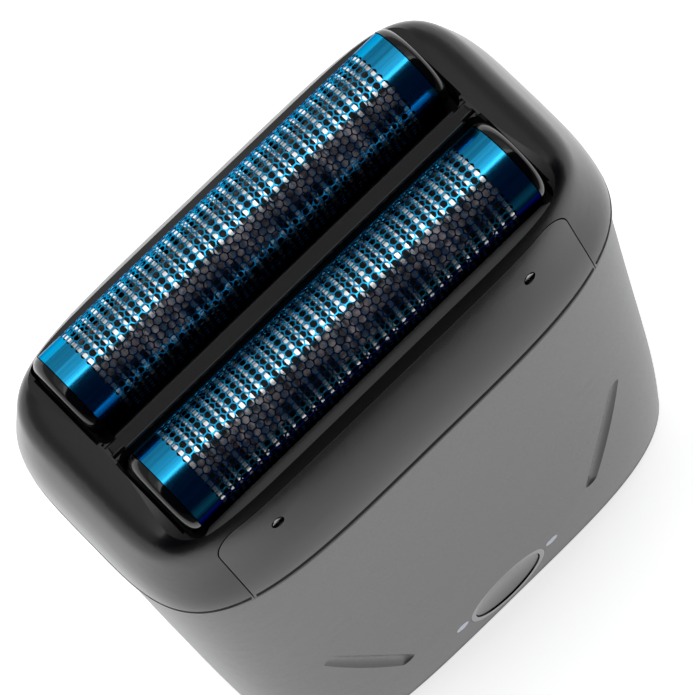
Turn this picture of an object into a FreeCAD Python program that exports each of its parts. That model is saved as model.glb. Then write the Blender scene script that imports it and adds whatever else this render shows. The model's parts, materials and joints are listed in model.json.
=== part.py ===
import FreeCAD, Part
import math
import os

# Two-foil electric shaver, standing upright on its base.
# Frame: millimetres, origin at the centre of the base, +Z up, +X along the foils,
# front of the shaver (the side with the power button) facing -Y.

# ---------------------------------------------------------------- driving dimensions
LIP_Z = 104.0              # height of the rim along the two long sides of the foils
RIM_CROWN = 1.4            # how much higher the rim stands in the middle of each end
HEAD_HEIGHT = 16.0         # from the seam between head and body up to the rim
SEAM_Z = LIP_Z - HEAD_HEIGHT
SEAM_GAP = 0.15            # height of the seam between head and body
PANEL_GAP = 0.5            # wider shadow line under the head's panels
WALL = 1.8                 # shell thickness

FOIL_RADIUS = 4.95         # outside of the curved foil
FOIL_THICKNESS = 0.15
FOIL_Y = 6.9               # distance of each foil's axis from the middle
FOIL_HALF_LENGTH = 23.0
FOIL_AXIS_Z = LIP_Z + 1.4
FOIL_LEG = 5.4             # straight side of the foil below its axis

WINDOW_HALF_X = 24.6
WINDOW_EDGE_Y = 12.1       # outer edge of each foil window
POCKET_X = 22.3            # where a window starts to widen into its end pocket
POCKET_WIDENING = 0.3      # how much wider than the window the pocket is, on each side
BAR_HALF_WIDTH = 1.05      # bridge between the two windows
BAR_SLOPE = 10.0           # degrees by which the top of the bridge falls towards the front

BLADE_COUNT = 33
BLADE_PITCH = 1.23
BLADE_THICKNESS = 0.45
BLADE_RADIUS = 4.72
CORE_RADIUS = 3.4
LUG_X = (-12.5, 0.0, 12.5)  # lugs that brace the blades, along X
LUG_HALF_LENGTH = 2.6
OSCILLATION = 1.2          # cutter travel each way along X

PANEL_HALF_X = 23.8        # front and rear panels of the head
PANEL_THICKNESS = 0.8
PANEL_GROOVE = 0.12        # hairline gap round a panel
PANEL_PIN_X = 17.3
PANEL_PIN_DROP = 5.5       # below the rim

BUTTON_RADIUS = 5.0
BUTTON_Z = 10.2
BUTTON_TRAVEL = 0.6
LIGHT_X = 7.2              # status lights beside the button
LIGHT_RADIUS = 0.9

BASE_HEIGHT = 3.0          # visible height of the base cap
PAD_THICKNESS = 0.8
PAD_RISE = 0.2             # how far the pad lifts the base cap off what it stands on

# Outer form: (height, half width, half depth, power of the superellipse).
HEAD_SECTIONS = [
    (SEAM_Z, 31.9, 18.1, 4.0),
    (LIP_Z - 11.0, 31.5, 17.0, 4.1),
    (LIP_Z - 6.5, 30.6, 15.7, 4.4),
    (LIP_Z - 3.5, 29.7, 14.75, 5.0),
    (LIP_Z - 1.5, 28.8, 14.0, 5.8),
    (LIP_Z, 27.3, 13.25, 7.2),
    (LIP_Z + 1.6, 24.35, 12.2, 6.8),
]
BODY_TOP_Z = SEAM_Z - SEAM_GAP
DECK_BOTTOM = SEAM_Z - 2.4
BODY_SECTIONS = [
    (PAD_RISE, 29.4, 15.2, 4.1),
    (0.9, 30.1, 15.8, 4.1),
    (2.2, 30.6, 16.3, 4.1),
    (14.0, 31.1, 16.6, 4.1),
    (38.0, 31.4, 16.8, 4.1),
    (66.0, 31.5, 17.0, 4.1),
    (BODY_TOP_Z, 31.6, 17.3, 4.0),
]
QUARTER_POINTS = 18        # spline points in each quarter of a section

V = FreeCAD.Vector
X_AXIS = V(1, 0, 0)
Y_AXIS = V(0, 1, 0)
Z_AXIS = V(0, 0, 1)

SIDES = {"front": -1, "rear": 1}


# ---------------------------------------------------------------- small helpers
def box(x, y, z):
    """Box between the low and high values given for each axis."""
    return Part.makeBox(x[1] - x[0], y[1] - y[0], z[1] - z[0], V(x[0], y[0], z[0]))


def cylinder(radius, start, end, axis=Z_AXIS, at=V(0, 0, 0)):
    """Cylinder along axis from start to end, measured along it from the point at."""
    foot = at + axis * start
    return Part.makeCylinder(radius, end - start, foot, axis)


def fuse(shapes):
    """One solid from touching or overlapping shapes, without the seams between them."""
    return shapes[0].multiFuse(shapes[1:]).removeSplitter()


def cut(shape, tools):
    """Shape less all the tools."""
    return shape.cut(Part.makeCompound(tools))


def rounded_rectangle(half_x, half_y, radius, z, centre_y=0.0):
    """Closed wire of four lines and four quarter arcs."""
    edges = []
    reach_x = half_x - radius
    reach_y = half_y - radius
    corners = [(reach_x, reach_y, 0), (-reach_x, reach_y, 90),
               (-reach_x, -reach_y, 180), (reach_x, -reach_y, 270)]
    arcs = []
    for x, y, start in corners:
        circle = Part.Circle(V(x, y + centre_y, z), Z_AXIS, radius)
        arcs.append(Part.Arc(circle, math.radians(start), math.radians(start + 90)))
    for index, arc in enumerate(arcs):
        following = arcs[(index + 1) % 4]
        edges.append(arc.toShape())
        edges.append(Part.makeLine(arc.EndPoint, following.StartPoint))
    return Part.Wire(edges)


def rounded_block(half_x, half_y, radius, low, high, centre_y=0.0):
    """Upright block with rounded vertical edges."""
    face = Part.Face(rounded_rectangle(half_x, half_y, radius, low, centre_y))
    return face.extrude(V(0, 0, high - low))


def quarter_superellipse(half_x, half_y, power):
    """Points of the first quarter, evenly spaced along the curve, both ends included."""
    steps = 600
    dense = []
    for step in range(steps + 1):
        angle = 0.5 * math.pi * step / steps
        x = half_x * math.cos(angle) ** (2.0 / power) if step < steps else 0.0
        y = half_y * math.sin(angle) ** (2.0 / power)
        dense.append((x, y))
    lengths = [0.0]
    for before, after in zip(dense, dense[1:]):
        lengths.append(lengths[-1] + math.dist(before, after))
    points = []
    index = 0
    for number in range(QUARTER_POINTS + 1):
        target = lengths[-1] * number / QUARTER_POINTS
        while index < steps - 1 and lengths[index + 1] < target:
            index += 1
        span = lengths[index + 1] - lengths[index]
        part = (target - lengths[index]) / span
        before, after = dense[index], dense[index + 1]
        points.append((before[0] + part * (after[0] - before[0]),
                       before[1] + part * (after[1] - before[1])))
    return points


def section_wire(z, half_x, half_y, power):
    """Closed smooth superellipse wire at height z."""
    quarter = quarter_superellipse(half_x, half_y, power)
    points = [V(x, y, z) for x, y in quarter]
    points += [V(-x, y, z) for x, y in reversed(quarter[:-1])]
    points += [V(-x, -y, z) for x, y in quarter[1:]]
    points += [V(x, -y, z) for x, y in reversed(quarter[1:-1])]
    curve = Part.BSplineCurve()
    curve.interpolate(Points=points, PeriodicFlag=True,
                      Parameters=[float(i) for i in range(len(points) + 1)])
    return Part.Wire(curve.toShape())


def loft(sections):
    """Solid through the sections, smooth from one to the next."""
    return Part.makeLoft([section_wire(*section) for section in sections], True, False)


def section_at(sections, z):
    """Half width, half depth and power of the outer form at height z."""
    for low, high in zip(sections, sections[1:]):
        if low[0] <= z <= high[0]:
            part = (z - low[0]) / (high[0] - low[0])
            return [p + part * (q - p) for p, q in zip(low[1:], high[1:])]
    raise ValueError("height outside the form")


def slice_of(sections, low, high, inset):
    """Sections of the stretch from low to high, both ends included, drawn in by inset."""
    inner = [s for s in sections if low + 0.3 < s[0] < high - 0.3]
    ends = [(low, *section_at(sections, low)), (high, *section_at(sections, high))]
    chosen = [ends[0]] + inner + [ends[1]]
    return [(z, a - inset, b - inset, n) for z, a, b, n in chosen]


def stretched_past(sections, below, above):
    """The same sections, with the first and last moved out by below and above."""
    first = (sections[0][0] - below, *sections[0][1:])
    last = (sections[-1][0] + above, *sections[-1][1:])
    return [first] + sections[1:-1] + [last]


def coil_spring(radius, wire_radius, turns, low, height, x, y):
    """Compression spring: a helix of round wire, standing at x, y."""
    rise = height - 2.0 * wire_radius
    helix = Part.makeHelix(rise / turns, rise, radius)
    profile = Part.Wire(Part.makeCircle(wire_radius, V(radius, 0, 0), Y_AXIS))
    spring = Part.Wire(helix).makePipeShell([profile], True, True)
    spring.translate(V(x, y, low + wire_radius))
    return spring


def screw(length, radius, head_radius, head_height, top, at):
    """Machine screw hanging from its head, whose underside is at height top."""
    shank = cylinder(radius, top - length, top, at=at)
    head = cylinder(head_radius, top, top + head_height, at=at)
    slot = box((-head_radius, head_radius), (-0.2, 0.2), (0, head_height))
    slot.translate(V(at.x, at.y, top + 0.6 * head_height))
    return fuse([shank, head]).cut(slot)


def export(shapes, name):
    """Write one node: a single solid, or a group of separate solids."""
    node = shapes if isinstance(shapes, list) else [shapes]
    solids = [solid for shape in node for solid in shape.Solids]
    if not solids or not all(solid.isValid() for solid in solids):
        raise RuntimeError(f"{name} is not a valid solid")
    result = solids[0] if len(solids) == 1 else Part.makeCompound(solids)
    result.exportStep(f"parts/{name}.step")
    volume = sum(solid.Volume for solid in solids)
    print(f"{name:24s} solids {len(solids):3d}  volume {volume:10.2f}")


# ---------------------------------------------------------------- head
def panel_region(side, gap):
    """Space that a head panel takes, wider all round by gap; gap 0 is the panel itself."""
    half_x = PANEL_HALF_X + gap
    top = LIP_Z - 1.7 + gap
    corner = 3.0
    low = SEAM_Z + PANEL_GAP if gap == 0 else SEAM_Z - 1.0
    block = box((-half_x, half_x), (0, 30), (low, top - corner))
    cap = box((-half_x + corner, half_x - corner), (0, 30), (low, top))
    rounds = []
    for x in (-half_x + corner, half_x - corner):
        rounds.append(cylinder(corner, 0, 30, Y_AXIS, V(x, 0, top - corner)))
    region = fuse([block, cap] + rounds)
    if side < 0:
        region = region.mirror(V(0, 0, 0), Y_AXIS)
    return region


def rim_radius():
    """Radius of the shallow arch, seen from an end, that the rim lies on."""
    half_depth = section_at(HEAD_SECTIONS, LIP_Z)[1]
    return (half_depth ** 2 + RIM_CROWN ** 2) / (2.0 * RIM_CROWN)


def rim_height(y):
    """Height of the rim at distance y from the middle."""
    radius = rim_radius()
    return LIP_Z + RIM_CROWN - radius + math.sqrt(radius ** 2 - y ** 2)


def head_form():
    """Outer form of the head, its top cut to the arch of the rim."""
    radius = rim_radius()
    start = V(-40, 0, LIP_Z + RIM_CROWN - radius)
    return loft(HEAD_SECTIONS).common(Part.makeCylinder(radius, 80, start, X_AXIS))


def window_bevels():
    """Cutters that take the sharp edge off the ends of both windows, along the arched rim."""
    bevel = 0.3
    near, far = BAR_HALF_WIDTH + 0.3, WINDOW_EDGE_Y - 1.2
    tools = []
    for side in SIDES.values():
        for end in (-1, 1):
            wires = []
            for outward in (-0.3, 0.6):
                x = end * (WINDOW_HALF_X + outward)
                low = [V(x, side * y, rim_height(y) - bevel + outward)
                       for y in (near, 0.5 * (near + far), far)]
                far_top = V(x, side * far, LIP_Z + 4)
                near_top = V(x, side * near, LIP_Z + 4)
                wires.append(Part.Wire([Part.Arc(*low).toShape(), Part.makeLine(low[2], far_top),
                                        Part.makeLine(far_top, near_top),
                                        Part.makeLine(near_top, low[0])]))
            tools.append(Part.makeLoft(wires, True, True))
    return tools


def window_tools():
    """Cutters for the two foil windows and their end pockets."""
    tools = []
    half_y = (WINDOW_EDGE_Y - BAR_HALF_WIDTH) / 2.0
    centre = (WINDOW_EDGE_Y + BAR_HALF_WIDTH) / 2.0
    pocket_half = 0.5 * (WINDOW_HALF_X - POCKET_X)
    for side in SIDES.values():
        y = side * centre
        tools.append(rounded_block(WINDOW_HALF_X, half_y, 1.4, LIP_Z - 6, LIP_Z + 3, y))
        for end in (-1, 1):
            pocket = rounded_block(pocket_half, half_y + POCKET_WIDENING, 1.1,
                                   LIP_Z - 6, LIP_Z + 3, y)
            pocket.translate(V(end * (WINDOW_HALF_X - pocket_half), 0, 0))
            tools.append(pocket)
    return tools


def bar_top(y):
    """Height of the bridge's sloping top at distance y from the middle."""
    return LIP_Z + RIM_CROWN - (BAR_HALF_WIDTH - y) * math.tan(math.radians(BAR_SLOPE))


def rim_levelling_tools():
    """Cutters that slope the top of the bridge and level the rim beside the windows."""
    end, rise = WINDOW_HALF_X - 0.4, 1.5
    low, high = LIP_Z + RIM_CROWN, LIP_Z + RIM_CROWN + rise
    corners = [V(-end, -2, low), V(end, -2, low), V(end + rise, -2, high),
               V(-end - rise, -2, high), V(-end, -2, low)]
    wedge = Part.Face(Part.makePolygon(corners)).extrude(V(0, 2 + BAR_HALF_WIDTH, 0))
    wedge.rotate(V(0, BAR_HALF_WIDTH, low), X_AXIS, BAR_SLOPE)
    tools = [wedge]
    reach = POCKET_X + 1.1
    for side in SIDES.values():
        strip = sorted((side * (WINDOW_EDGE_Y - 0.1), side * 15))
        tools.append(box((-reach, reach), strip, (LIP_Z, LIP_Z + 1)))
    return tools


def bar_edge_tools():
    """Cutters that round the upper edges of the bridge between the windows."""
    radius = 0.35
    turn = POCKET_X + 0.7
    narrow = BAR_HALF_WIDTH - POCKET_WIDENING
    stretches = [(-WINDOW_HALF_X, -turn, narrow),
                 (-turn, turn, BAR_HALF_WIDTH),
                 (turn, WINDOW_HALF_X, narrow)]
    tools = []
    for low, high, half_width in stretches:
        for side in SIDES.values():
            y = side * (half_width - radius)
            z = bar_top(y) - radius / math.cos(math.radians(BAR_SLOPE))
            corner = box((low, high), sorted((y, y + side * 2 * radius)), (z, z + 2 * radius))
            tools.append(corner.cut(cylinder(radius, low - 1, high + 1, X_AXIS, V(0, y, z))))
    return tools


def head_hood():
    """Outer shell of the head, open below, with two windows above."""
    outer = head_form()
    inner = loft(stretched_past(slice_of(HEAD_SECTIONS, SEAM_Z, LIP_Z - WALL, WALL), 2.0, 0.0))
    tools = [inner] + window_tools() + window_bevels() + rim_levelling_tools() + bar_edge_tools()
    backing = panel_backing(0.04)
    for side in SIDES.values():
        tools.append(panel_region(side, PANEL_GROOVE).cut(backing))
    shell = cut(outer, tools)
    holes = []
    for side in SIDES.values():
        for x in (-PANEL_PIN_X, PANEL_PIN_X):
            holes.append(panel_pin_hole(side, x, 0.5))
    return cut(shell, holes)


def panel_backing(clearance):
    """Form of the head under its panels, set deeper by clearance."""
    sections = slice_of(HEAD_SECTIONS, SEAM_Z, LIP_Z - 0.6, PANEL_THICKNESS + clearance)
    return loft(stretched_past(sections, 3.0, 1.0))


def panel_pin_hole(side, x, radius):
    """Cylinder along Y through a panel, for a pin."""
    return cylinder(radius, 8, 20, Y_AXIS * side, V(x, 0, LIP_Z - PANEL_PIN_DROP))


def head_panel(side):
    """Curved plate let into the head between its two cheeks."""
    panel = panel_region(side, 0.0).common(loft(HEAD_SECTIONS)).cut(panel_backing(0.0))
    holes = [panel_pin_hole(side, x, 0.75) for x in (-PANEL_PIN_X, PANEL_PIN_X)]
    return cut(panel, holes)


def panel_pins():
    """Four headed pins that hold the panels; each head sits just below the surface."""
    half_depth = section_at(HEAD_SECTIONS, LIP_Z - PANEL_PIN_DROP)[1]
    pins = []
    for side in SIDES.values():
        for x in (-PANEL_PIN_X, PANEL_PIN_X):
            at = V(x, 0, LIP_Z - PANEL_PIN_DROP)
            shank = cylinder(0.5, half_depth - 2.6, half_depth - 0.8, Y_AXIS * side, at)
            head = cylinder(0.62, half_depth - 0.8, half_depth - 0.35, Y_AXIS * side, at)
            pins.append(fuse([shank, head]))
    return pins


CASSETTE_FLOOR = LIP_Z - 9.8
FRAME_TOP = LIP_Z - 3.0
FRAME_HEIGHT = 3.2
SPRING_X = 23.7
SPRING_OFFSET_Y = 3.2


def foil_cassette():
    """Inner frame of the head: floor under the foil springs, with a way through for each cutter."""
    top = CASSETTE_FLOOR + 1.6
    plate = loft(slice_of(HEAD_SECTIONS, CASSETTE_FLOOR - 1.2, top, WALL + 0.15))
    pocket = loft(stretched_past(slice_of(HEAD_SECTIONS, CASSETTE_FLOOR, top, WALL + 1.1), 0.0, 1.0))
    openings = []
    for side in SIDES.values():
        openings.append(rounded_block(22.3, 4.9, 1.0, CASSETTE_FLOOR - 3, top + 1, side * FOIL_Y))
    return cut(plate, [pocket] + openings)


def foil_sheet(side):
    """Curved cutting foil: a half cylinder with straight legs."""
    y = side * FOIL_Y
    length = 2.0 * FOIL_HALF_LENGTH
    start = V(-FOIL_HALF_LENGTH, y, FOIL_AXIS_Z)

    def arch(radius):
        rod = Part.makeCylinder(radius, length, start, X_AXIS)
        rod = rod.common(box((-30, 30), (y - 10, y + 10), (FOIL_AXIS_Z, FOIL_AXIS_Z + 10)))
        legs = box((-FOIL_HALF_LENGTH, FOIL_HALF_LENGTH), (y - radius, y + radius),
                   (FOIL_AXIS_Z - FOIL_LEG, FOIL_AXIS_Z))
        return fuse([rod, legs])

    return arch(FOIL_RADIUS).cut(arch(FOIL_RADIUS - FOIL_THICKNESS))


CAP_LEG = 5.2


def end_caps(side):
    """Pair of domed caps that close the ends of a foil."""
    y = side * FOIL_Y
    base_x = FOIL_HALF_LENGTH + 0.1
    depth = 1.2
    shoulder = 1.35
    crown = FOIL_RADIUS + 0.05
    caps = []
    for end in (-1, 1):
        start = V(base_x, 0, 0)
        foot = V(base_x, 0, crown)
        face = V(base_x + depth, 0, crown - shoulder)
        middle = V(base_x + depth * math.sin(math.pi / 4), 0,
                   crown - shoulder * (1 - math.cos(math.pi / 4)))
        edges = [Part.makeLine(start, foot), Part.Arc(foot, middle, face).toShape(),
                 Part.makeLine(face, V(base_x + depth, 0, 0)),
                 Part.makeLine(V(base_x + depth, 0, 0), start)]
        dome = Part.Face(Part.Wire(edges)).revolve(V(0, 0, 0), X_AXIS, 360)
        dome = dome.common(box((20, 30), (-10, 10), (-0.6, 10)))
        leg = box((base_x, base_x + 0.9), (-3.7, 3.7), (-CAP_LEG, -0.5))
        cap = fuse([dome, leg])
        cap.translate(V(0, y, FOIL_AXIS_Z))
        if end < 0:
            cap = cap.mirror(V(0, 0, 0), X_AXIS)
        caps.append(cap)
    return caps


def foil_frame(side):
    """Rails and end walls that carry a foil's legs and its caps."""
    y = side * FOIL_Y
    low = FRAME_TOP - FRAME_HEIGHT
    room = loft(slice_of(HEAD_SECTIONS, low - 1, FRAME_TOP + 1, WALL + 0.25))
    way = rounded_block(24.4, 5.1, 0.6, low - 1, FRAME_TOP + 1, y)
    outer = rounded_block(24.45, 5.75, 0.6, low, FRAME_TOP, y).common(fuse([room, way]))
    inner = box((-22.4, 22.4), (y - FOIL_RADIUS, y + FOIL_RADIUS), (low - 1, FRAME_TOP + 1))
    tools = [inner]
    for end in (-1, 1):
        foot_low, foot_high = sorted((end * (FOIL_HALF_LENGTH + 0.1), end * (FOIL_HALF_LENGTH + 1.0)))
        tools.append(box((foot_low, foot_high), (y - 3.7, y + 3.7),
                         (FOIL_AXIS_Z - CAP_LEG, FRAME_TOP + 1)))
        leg_low, leg_high = sorted((end * 22.3, end * FOIL_HALF_LENGTH))
        tools.append(box((leg_low, leg_high), (y - FOIL_RADIUS, y + FOIL_RADIUS),
                         (FOIL_AXIS_Z - FOIL_LEG, FRAME_TOP + 1)))
    return cut(outer, tools)


def foil_springs(side):
    """Four small coil springs under the corners of a foil frame."""
    y = side * FOIL_Y
    height = FRAME_TOP - FRAME_HEIGHT - CASSETTE_FLOOR
    springs = []
    for x in (-SPRING_X, SPRING_X):
        for offset in (-SPRING_OFFSET_Y, SPRING_OFFSET_Y):
            springs.append(coil_spring(0.75, 0.16, 4.5, CASSETTE_FLOOR, height, x, y + offset))
    return springs


# ---------------------------------------------------------------- cutters
CORE_BOTTOM = FOIL_AXIS_Z - 6.0
POST_RADIUS = 1.5
POST_TOP = FOIL_AXIS_Z - 4.0
SHOULDER_TOP = LIP_Z - 9.6


def cutter_blades(side):
    """Separate arched blades, side by side along X."""
    y = side * FOIL_Y
    first = -0.5 * (BLADE_COUNT - 1) * BLADE_PITCH
    blades = []
    for number in range(BLADE_COUNT):
        x = first + number * BLADE_PITCH - 0.5 * BLADE_THICKNESS
        at = V(x, y, FOIL_AXIS_Z)
        ring = Part.makeCylinder(BLADE_RADIUS, BLADE_THICKNESS, at, X_AXIS)
        bore = Part.makeCylinder(CORE_RADIUS, BLADE_THICKNESS, at, X_AXIS)
        below = box((x - 1, x + 1), (y - 10, y + 10), (FOIL_AXIS_Z - 10, FOIL_AXIS_Z - 1.6))
        blades.append(ring.cut(bore).cut(below))
    return blades


def blade_lug(x, y):
    """Brace on the front slope of a cutter core, slotted for the blades that cross it."""
    length = 2.0 * LUG_HALF_LENGTH
    at = V(x - LUG_HALF_LENGTH, y, FOIL_AXIS_Z)
    ring = Part.makeCylinder(BLADE_RADIUS - 0.2, length, at, X_AXIS)
    front = box((x - length, x + length), (y - 4.0, y), (FOIL_AXIS_Z + 2.2, FOIL_AXIS_Z + 10))
    slots = []
    first = -0.5 * (BLADE_COUNT - 1) * BLADE_PITCH
    for number in range(BLADE_COUNT):
        centre = first + number * BLADE_PITCH
        if abs(centre - x) < length:
            half = 0.5 * BLADE_THICKNESS + 0.02
            slots.append(box((centre - half, centre + half), (y - 10, y + 10),
                             (FOIL_AXIS_Z - 10, FOIL_AXIS_Z + 10)))
    return cut(ring.common(front), slots)


def cutter_core(side):
    """Carrier of the blades: a rounded bar with end plates and a socket for the drive post."""
    y = side * FOIL_Y
    half = 0.5 * (BLADE_COUNT - 1) * BLADE_PITCH + 0.6
    radius = CORE_RADIUS - 0.03
    bar = Part.makeCylinder(radius, 2 * half, V(-half, y, FOIL_AXIS_Z), X_AXIS)
    stem = box((-half, half), (y - 2.9, y + 2.9), (CORE_BOTTOM, FOIL_AXIS_Z))
    plates = []
    for x in (-half - 0.7, half):
        disc = Part.makeCylinder(BLADE_RADIUS - 0.25, 0.7, V(x, y, FOIL_AXIS_Z), X_AXIS)
        below = box((x - 1, x + 2), (y - 10, y + 10), (FOIL_AXIS_Z - 10, FOIL_AXIS_Z - 1.6))
        plates.append(disc.cut(below))
    for x in LUG_X:
        plates.append(blade_lug(x, y))
    socket = cylinder(POST_RADIUS + 0.08, CORE_BOTTOM - 1, FOIL_AXIS_Z - 2.4, at=V(0, y, 0))
    return fuse([bar, stem] + plates).cut(socket)


def cutter_spring(side):
    """Coil spring that presses a cutter against its foil."""
    return coil_spring(2.1, 0.28, 4.0, SHOULDER_TOP, CORE_BOTTOM - SHOULDER_TOP, 0.0, side * FOIL_Y)


# ---------------------------------------------------------------- drive
LINK_HIGH = SEAM_Z - 5.0       # top of both link plates
LINK_THICKNESS = 1.4
FORK_LOW_TOP = SEAM_Z - 7.2    # top of the front link's fork, one storey down
CAM_RADIUS = 3.2
FORK_HALF_GAP = CAM_RADIUS + 2 * OSCILLATION + 0.2


def drive_link(side):
    """Sliding plate with a post for the cutter and a fork round its cam disc."""
    y = side * FOIL_Y
    plate = box((-13, 13), sorted((side * 4.8, side * 11.0)), (LINK_HIGH - LINK_THICKNESS, LINK_HIGH))
    fork_top = FORK_LOW_TOP if side < 0 else LINK_HIGH
    pieces = [plate]
    for x in (-1, 1):
        prong = sorted((x * FORK_HALF_GAP, x * (FORK_HALF_GAP + 1.8)))
        reach = sorted((side * 6.2, side * -2.4))
        pieces.append(box(prong, reach, (fork_top - LINK_THICKNESS, fork_top)))
        if side < 0:
            pieces.append(box(prong, (-6.2, -4.8), (fork_top - LINK_THICKNESS, LINK_HIGH)))
    at = V(0, y, 0)
    pieces.append(cylinder(1.8, LINK_HIGH - 0.5, SHOULDER_TOP - 0.5, at=at))
    pieces.append(cylinder(2.8, SHOULDER_TOP - 1.0, SHOULDER_TOP, at=at))
    pieces.append(cylinder(POST_RADIUS, SHOULDER_TOP - 0.2, POST_TOP, at=at))
    return fuse(pieces)


def drive_guides():
    """Two channels under the deck in which the link plates slide."""
    guides = []
    for side in SIDES.values():
        channel = box((-16, 16), sorted((side * 9.6, side * 12.9)), (LINK_HIGH - 2.1, LINK_HIGH + 0.6))
        slot = box((-17, 17), sorted((side * 9.5, side * 11.2)), (LINK_HIGH - 1.5, LINK_HIGH + 0.1))
        feet = []
        for x in (-15, 12):
            feet.append(box((x, x + 3), sorted((side * 11.3, side * 12.9)),
                            (LINK_HIGH + 0.5, DECK_BOTTOM)))
        guides.append(fuse([channel.cut(slot)] + feet))
    return guides


MOTOR_TOP = SEAM_Z - 12.5
MOTOR_HEIGHT = 22.0
MOTOR_RADIUS = 10.4
SHAFT_RADIUS = 1.0
BRACKET_THICKNESS = 1.4


def eccentric_cam():
    """Hub with two round discs set half a turn apart."""
    hub = cylinder(1.7, SEAM_Z - 10.4, SEAM_Z - 4.7)
    lower = cylinder(CAM_RADIUS, SEAM_Z - 8.8, SEAM_Z - 7.0, at=V(0, OSCILLATION, 0))
    upper = cylinder(CAM_RADIUS, SEAM_Z - 6.6, SEAM_Z - 4.8, at=V(0, -OSCILLATION, 0))
    bore = cylinder(SHAFT_RADIUS, SEAM_Z - 12, SEAM_Z - 4)
    return fuse([hub, lower, upper]).cut(bore)


def motor_shaft():
    """Steel shaft from the motor's rear bearing up into the cam."""
    return cylinder(SHAFT_RADIUS, MOTOR_TOP - MOTOR_HEIGHT + 1.0, SEAM_Z - 4.7)


def motor_can():
    """Drawn steel can, open below, with a bearing boss above."""
    low = MOTOR_TOP - MOTOR_HEIGHT
    can = cylinder(MOTOR_RADIUS, low, MOTOR_TOP)
    boss = cylinder(3.0, MOTOR_TOP - 0.5, MOTOR_TOP + 1.0)
    hollow = cylinder(MOTOR_RADIUS - 0.8, low - 1, MOTOR_TOP - 0.8)
    bore = cylinder(SHAFT_RADIUS + 0.05, low, MOTOR_TOP + 2)
    threads = [cylinder(0.87, MOTOR_TOP - 2, MOTOR_TOP + 2, at=V(x, 0, 0)) for x in (-7, 7)]
    return cut(fuse([can, boss]), [hollow, bore] + threads)


def motor_rotor():
    """Wound armature on the shaft."""
    low = MOTOR_TOP - MOTOR_HEIGHT + 5.0
    core = cylinder(MOTOR_RADIUS - 2.6, low, MOTOR_TOP - 3.0)
    slots = []
    for number in range(3):
        slot = box((-0.7, 0.7), (4.0, 12.0), (low - 1, MOTOR_TOP))
        slot.rotate(V(0, 0, 0), Z_AXIS, 120.0 * number)
        slots.append(slot)
    bore = cylinder(SHAFT_RADIUS, low - 1, MOTOR_TOP)
    return cut(core, slots + [bore])


def motor_magnets():
    """Two curved magnets inside the can."""
    low = MOTOR_TOP - MOTOR_HEIGHT + 4.5
    ring = cylinder(MOTOR_RADIUS - 0.85, low, MOTOR_TOP - 2.5)
    ring = ring.cut(cylinder(MOTOR_RADIUS - 2.2, low - 1, MOTOR_TOP))
    gap = box((-2.0, 2.0), (-20, 20), (low - 1, MOTOR_TOP))
    return ring.cut(gap).Solids


def motor_end_cap():
    """Plastic cap that closes the can and carries the rear bearing and the two terminals."""
    low = MOTOR_TOP - MOTOR_HEIGHT
    cap = cylinder(MOTOR_RADIUS - 0.85, low - 0.6, low + 2.4)
    bore = cylinder(SHAFT_RADIUS + 0.05, low + 0.9, low + 4)
    return cap.cut(bore)


def motor_bracket():
    """Plate across the body that the motor hangs from."""
    low = MOTOR_TOP
    plate = rounded_block(27.0, 12.6, 4.0, low, low + BRACKET_THICKNESS)
    tools = [cylinder(3.1, low - 1, low + 3)]
    for x in (-7, 7):
        tools.append(cylinder(0.9, low - 1, low + 3, at=V(x, 0, 0)))
    for x in (-23, 23):
        for y in (-8, 8):
            tools.append(cylinder(1.1, low - 1, low + 3, at=V(x, y, 0)))
    return cut(plate, tools)


def motor_screws():
    """Two screws through the bracket into the motor's front face."""
    top = MOTOR_TOP + BRACKET_THICKNESS
    return [screw(2.1, 0.85, 1.6, 0.9, top, V(x, 0, 0)) for x in (-7, 7)]


# ---------------------------------------------------------------- deck
COLLAR_CLEARANCE = 0.3
COLLAR_TOP = SEAM_Z + 4.2


def top_deck():
    """Plate that closes the body, with a collar that the head fits over."""
    plug = slice_of(BODY_SECTIONS, DECK_BOTTOM, BODY_TOP_Z, WALL + 0.05)
    plate = loft(plug)
    collar_inset = WALL + COLLAR_CLEARANCE
    collar_sections = slice_of(HEAD_SECTIONS, SEAM_Z, COLLAR_TOP, collar_inset)
    collar_sections = stretched_past(collar_sections, SEAM_GAP, 0.0)
    collar = loft(collar_sections)
    hollow = loft([(z, a - 1.3, b - 1.3, n) for z, a, b, n in
                   stretched_past(collar_sections, 0.0, 1.0)])
    deck = fuse([plate, collar]).cut(hollow)
    tools = []
    for side in SIDES.values():
        tools.append(rounded_block(3.6, 2.3, 2.2, SEAM_Z - 4, SEAM_Z + 4, side * FOIL_Y))
    for x in (-23, 23):
        for y in (-8, 8):
            tools.append(cylinder(1.1, SEAM_Z - 4, SEAM_Z + 4, at=V(x, y, 0)))
    return cut(deck, tools)


def deck_gasket():
    """Soft ring in the seam, set back from the surface."""
    a, b, n = section_at(BODY_SECTIONS, BODY_TOP_Z)
    outer = loft([(BODY_TOP_Z, a - 0.7, b - 0.7, n), (SEAM_Z, a - 0.7, b - 0.7, n)])
    a, b, n = section_at(HEAD_SECTIONS, SEAM_Z)
    inset = WALL + COLLAR_CLEARANCE
    inner = loft([(BODY_TOP_Z - 1, a - inset + 0.05, b - inset + 0.05, n),
                  (SEAM_Z + 1, a - inset + 0.05, b - inset + 0.05, n)])
    return outer.cut(inner)


def deck_posts():
    """Four spacers between the motor bracket and the deck."""
    low = MOTOR_TOP + BRACKET_THICKNESS
    posts = []
    for x in (-23, 23):
        for y in (-8, 8):
            post = cylinder(2.2, low, DECK_BOTTOM, at=V(x, y, 0))
            posts.append(post.cut(cylinder(1.1, low - 1, SEAM_Z, at=V(x, y, 0))))
    return posts


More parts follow.
